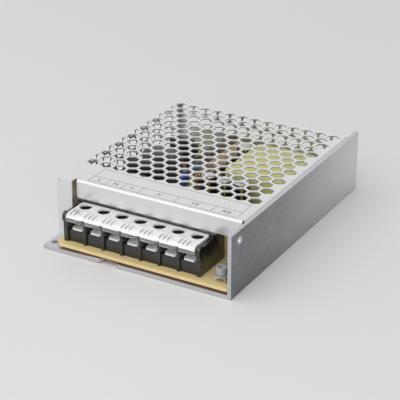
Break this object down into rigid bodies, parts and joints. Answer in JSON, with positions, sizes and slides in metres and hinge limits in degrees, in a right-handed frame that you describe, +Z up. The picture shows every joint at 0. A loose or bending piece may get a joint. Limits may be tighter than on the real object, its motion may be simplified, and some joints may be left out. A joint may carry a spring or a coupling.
{
  "type": "power supply",
  "caption": "Enclosed switching power supply with a bent aluminium base, a folded honeycomb cover and a screw terminal block under a hinged clear cover.",
  "frame": {"origin": "middle of the case's underside", "axes": "+X towards the solid side wall, -Y towards the terminals, +Z up"},
  "size_m": [0.097, 0.129, 0.03],
  "materials": {
    "bare_aluminium": "brushed",
    "perforated_sheet": "satin",
    "film": "matte",
    "laminate": "satin",
    "plated_steel": "satin",
    "black_moulding": "satin",
    "tinned_brass": "polished",
    "clear_moulding": "clear",
    "grey_moulding": "matte",
    "green_lamp": "glossy",
    "yellow_tape": "satin",
    "ferrite": "matte",
    "dark_sleeve": "satin",
    "copper_winding": "satin",
    "blue_epoxy": "satin",
    "dark_epoxy": "matte",
    "amber_box": "satin",
    "fuse_glass": "clear",
    "nickel": "polished",
    "grey_pad": "matte",
    "white_moulding": "matte"
  },
  "bodies": {
    "case": {"base_chassis": "bare_aluminium", "top_cover": "perforated_sheet", "insulating_film": "film", "circuit_board": "laminate", "board_screws": "plated_steel", "terminal_block": "black_moulding", "terminal_contact_1": "tinned_brass", "terminal_contact_2": "tinned_brass", "terminal_contact_3": "tinned_brass", "terminal_contact_4": "tinned_brass", "terminal_contact_5": "tinned_brass", "terminal_contact_6": "tinned_brass", "terminal_contact_7": "tinned_brass", "trimmer_body": "grey_moulding", "power_lamp": "green_lamp", "transformer_coil": "yellow_tape", "transformer_core": "ferrite", "transformer_bobbin": "black_moulding", "bulk_capacitor": "dark_sleeve", "upright_capacitor_1": "dark_sleeve", "upright_capacitor_2": "dark_sleeve", "upright_capacitor_3": "dark_sleeve", "upright_capacitor_4": "dark_sleeve", "output_inductor": "copper_winding", "suppression_capacitor_1": "blue_epoxy", "suppression_capacitor_2": "blue_epoxy", "varistor": "blue_epoxy", "inrush_thermistor": "dark_epoxy", "choke_core": "ferrite", "choke_coils": "copper_winding", "line_capacitor": "amber_box", "fuse_tube": "fuse_glass", "fuse_caps": "nickel", "bridge_rectifier": "dark_epoxy", "output_rectifier": "dark_epoxy", "switch_transistor": "dark_epoxy", "insulating_pads": "grey_pad", "device_clips": "plated_steel", "optical_coupler": "white_moulding"},
    "terminal_flap": {"terminal_cover": "clear_moulding"},
    "trimmer_knob": {"trimmer_rotor": "grey_moulding"},
    "clamp_1": {"clamp_washer_1": "plated_steel"},
    "screw_1": {"terminal_screw_1": "plated_steel"},
    "clamp_2": {"clamp_washer_2": "plated_steel"},
    "screw_2": {"terminal_screw_2": "plated_steel"},
    "clamp_3": {"clamp_washer_3": "plated_steel"},
    "screw_3": {"terminal_screw_3": "plated_steel"},
    "clamp_4": {"clamp_washer_4": "plated_steel"},
    "screw_4": {"terminal_screw_4": "plated_steel"},
    "clamp_5": {"clamp_washer_5": "plated_steel"},
    "screw_5": {"terminal_screw_5": "plated_steel"},
    "clamp_6": {"clamp_washer_6": "plated_steel"},
    "screw_6": {"terminal_screw_6": "plated_steel"},
    "clamp_7": {"clamp_washer_7": "plated_steel"},
    "screw_7": {"terminal_screw_7": "plated_steel"}
  },
  "joints": [
    {"name": "terminal_cover_hinge", "type": "hinge", "parent": "case", "child": "terminal_flap", "pos_m": [-0.0039, -0.0484, 0.0186], "axis": [-1, 0, 0], "range_deg": [0, 55]},
    {"name": "trimmer_turn", "type": "hinge", "parent": "case", "child": "trimmer_knob", "pos_m": [0.0407, -0.0585, 0.01], "axis": [0, 0, 1], "range_deg": [-135, 135]},
    {"name": "clamp_1_rise", "type": "slide", "parent": "case", "child": "clamp_1", "axis": [0, 0, 1], "range_m": [0, 0.0025]},
    {"name": "screw_1_turn", "type": "hinge", "parent": "clamp_1", "child": "screw_1", "pos_m": [-0.033, -0.0519, 0.0134], "axis": [0, 0, 1], "range_deg": [0, 1500]},
    {"name": "clamp_2_rise", "type": "slide", "parent": "case", "child": "clamp_2", "axis": [0, 0, 1], "range_m": [0, 0.0025]},
    {"name": "screw_2_turn", "type": "hinge", "parent": "clamp_2", "child": "screw_2", "pos_m": [-0.0233, -0.0519, 0.0134], "axis": [0, 0, 1], "range_deg": [0, 1500]},
    {"name": "clamp_3_rise", "type": "slide", "parent": "case", "child": "clamp_3", "axis": [0, 0, 1], "range_m": [0, 0.0025]},
    {"name": "screw_3_turn", "type": "hinge", "parent": "clamp_3", "child": "screw_3", "pos_m": [-0.0136, -0.0519, 0.0134], "axis": [0, 0, 1], "range_deg": [0, 1500]},
    {"name": "clamp_4_rise", "type": "slide", "parent": "case", "child": "clamp_4", "axis": [0, 0, 1], "range_m": [0, 0.0025]},
    {"name": "screw_4_turn", "type": "hinge", "parent": "clamp_4", "child": "screw_4", "pos_m": [-0.0039, -0.0519, 0.0134], "axis": [0, 0, 1], "range_deg": [0, 1500]},
    {"name": "clamp_5_rise", "type": "slide", "parent": "case", "child": "clamp_5", "axis": [0, 0, 1], "range_m": [0, 0.0025]},
    {"name": "screw_5_turn", "type": "hinge", "parent": "clamp_5", "child": "screw_5", "pos_m": [0.0058, -0.0519, 0.0134], "axis": [0, 0, 1], "range_deg": [0, 1500]},
    {"name": "clamp_6_rise", "type": "slide", "parent": "case", "child": "clamp_6", "axis": [0, 0, 1], "range_m": [0, 0.0025]},
    {"name": "screw_6_turn", "type": "hinge", "parent": "clamp_6", "child": "screw_6", "pos_m": [0.0155, -0.0519, 0.0134], "axis": [0, 0, 1], "range_deg": [0, 1500]},
    {"name": "clamp_7_rise", "type": "slide", "parent": "case", "child": "clamp_7", "axis": [0, 0, 1], "range_m": [0, 0.0025]},
    {"name": "screw_7_turn", "type": "hinge", "parent": "clamp_7", "child": "screw_7", "pos_m": [0.0252, -0.0519, 0.0134], "axis": [0, 0, 1], "range_deg": [0, 1500]}
  ],
  "couplings": [
    {"joint": "screw_1_turn", "follows": "clamp_1_rise", "rad_per_m": 10472},
    {"joint": "screw_2_turn", "follows": "clamp_2_rise", "rad_per_m": 10472},
    {"joint": "screw_3_turn", "follows": "clamp_3_rise", "rad_per_m": 10472},
    {"joint": "screw_4_turn", "follows": "clamp_4_rise", "rad_per_m": 10472},
    {"joint": "screw_5_turn", "follows": "clamp_5_rise", "rad_per_m": 10472},
    {"joint": "screw_6_turn", "follows": "clamp_6_rise", "rad_per_m": 10472},
    {"joint": "screw_7_turn", "follows": "clamp_7_rise", "rad_per_m": 10472}
  ]
}
